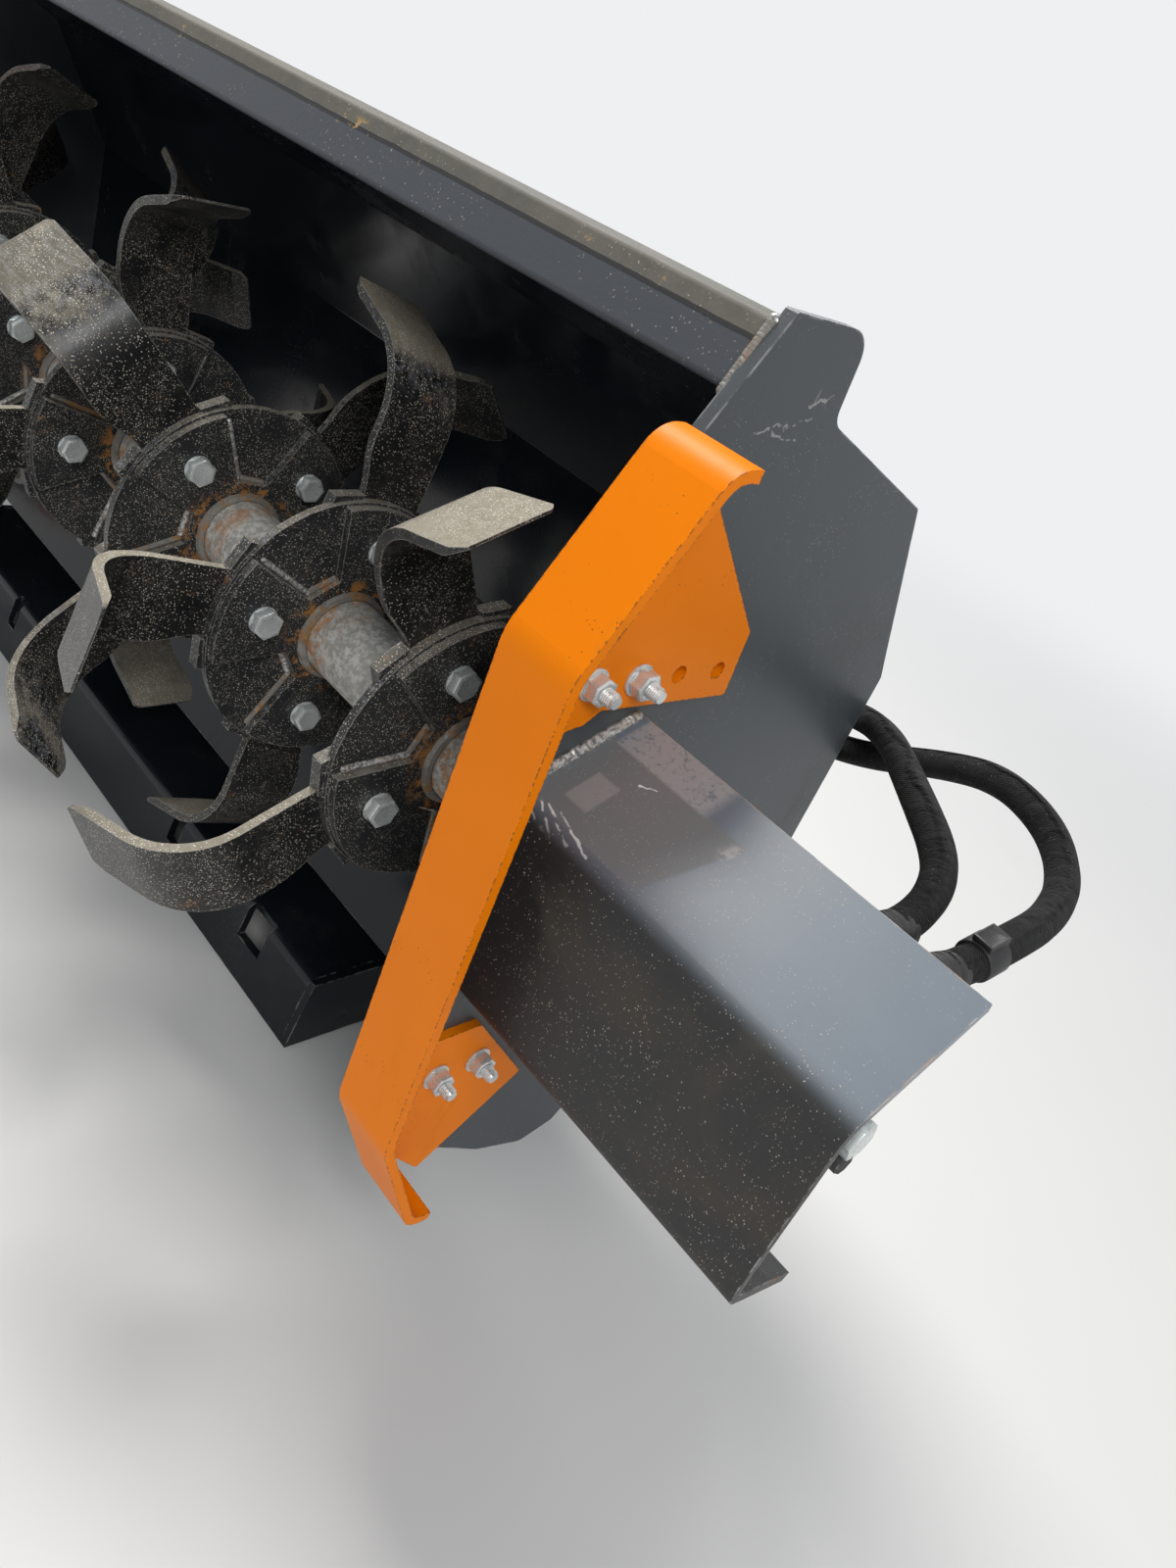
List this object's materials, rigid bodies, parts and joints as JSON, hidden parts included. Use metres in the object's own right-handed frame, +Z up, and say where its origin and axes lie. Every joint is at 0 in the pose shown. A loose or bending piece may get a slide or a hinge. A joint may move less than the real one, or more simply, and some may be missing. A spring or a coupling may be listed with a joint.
{
  "type": "rotary tiller attachment",
  "caption": "Hydraulic rotary tiller for a loader: folded hood with skid shoes and coupling plate, round a free-turning rotor with bolted, bent tines.",
  "frame": {"origin": "middle of the coupling plate's outer face, on the machine's mid-plane", "axes": "+X along the rotor to the motor end, +Z up as it is parked on its coupling plate (forward in use), -Y the side that works the ground"},
  "size_m": [2.039, 0.7645, 0.8997],
  "materials": {
    "slate_paint": "satin",
    "black_paint": "gloss",
    "orange_paint": "satin",
    "tine_steel": "worn",
    "zinc": "plated",
    "sleeve": "woven"
  },
  "bodies": {
    "frame": {"side_plate_drive": "slate_paint", "skid_shoe_drive": "orange_paint", "shoe_bracket_front_drive": "orange_paint", "shoe_bracket_rear_drive": "orange_paint", "coupler_cheek_drive": "black_paint", "side_plate_idle": "slate_paint", "skid_shoe_idle": "orange_paint", "shoe_bracket_front_idle": "orange_paint", "shoe_bracket_rear_idle": "orange_paint", "coupler_cheek_idle": "black_paint", "front_rail": "slate_paint", "hood_shell": "black_paint", "coupler_plate": "black_paint", "hood_rib_1": "black_paint", "hood_rib_2": "black_paint", "hood_rib_3": "black_paint", "hood_rib_4": "black_paint", "motor_guard": "slate_paint", "motor_flange": "black_paint", "hydraulic_motor": "black_paint", "port_elbow_1": "zinc", "quick_coupler_1": "zinc", "port_elbow_2": "zinc", "quick_coupler_2": "zinc", "idle_bearing": "black_paint", "hose_guide": "black_paint", "hose_pressure": "sleeve", "hose_return": "sleeve"},
    "rotor": {"rotor_tube": "black_paint", "tine_disc_1": "black_paint", "tine_disc_2": "black_paint", "tine_disc_3": "black_paint", "tine_disc_4": "black_paint", "tine_disc_5": "black_paint", "tine_disc_6": "black_paint", "tine_disc_7": "black_paint", "tine_disc_8": "black_paint", "tine_set_1": "tine_steel", "tine_set_2": "tine_steel", "tine_set_3": "tine_steel", "tine_set_4": "tine_steel", "tine_set_5": "tine_steel", "tine_set_6": "tine_steel", "tine_set_7": "tine_steel", "tine_set_8": "tine_steel"}
  },
  "joints": [
    {"name": "rotor_spin", "type": "hinge", "parent": "frame", "child": "rotor", "pos_m": [0, -0.259, 0.4055], "axis": [1, 0, 0], "continuous": true}
  ]
}
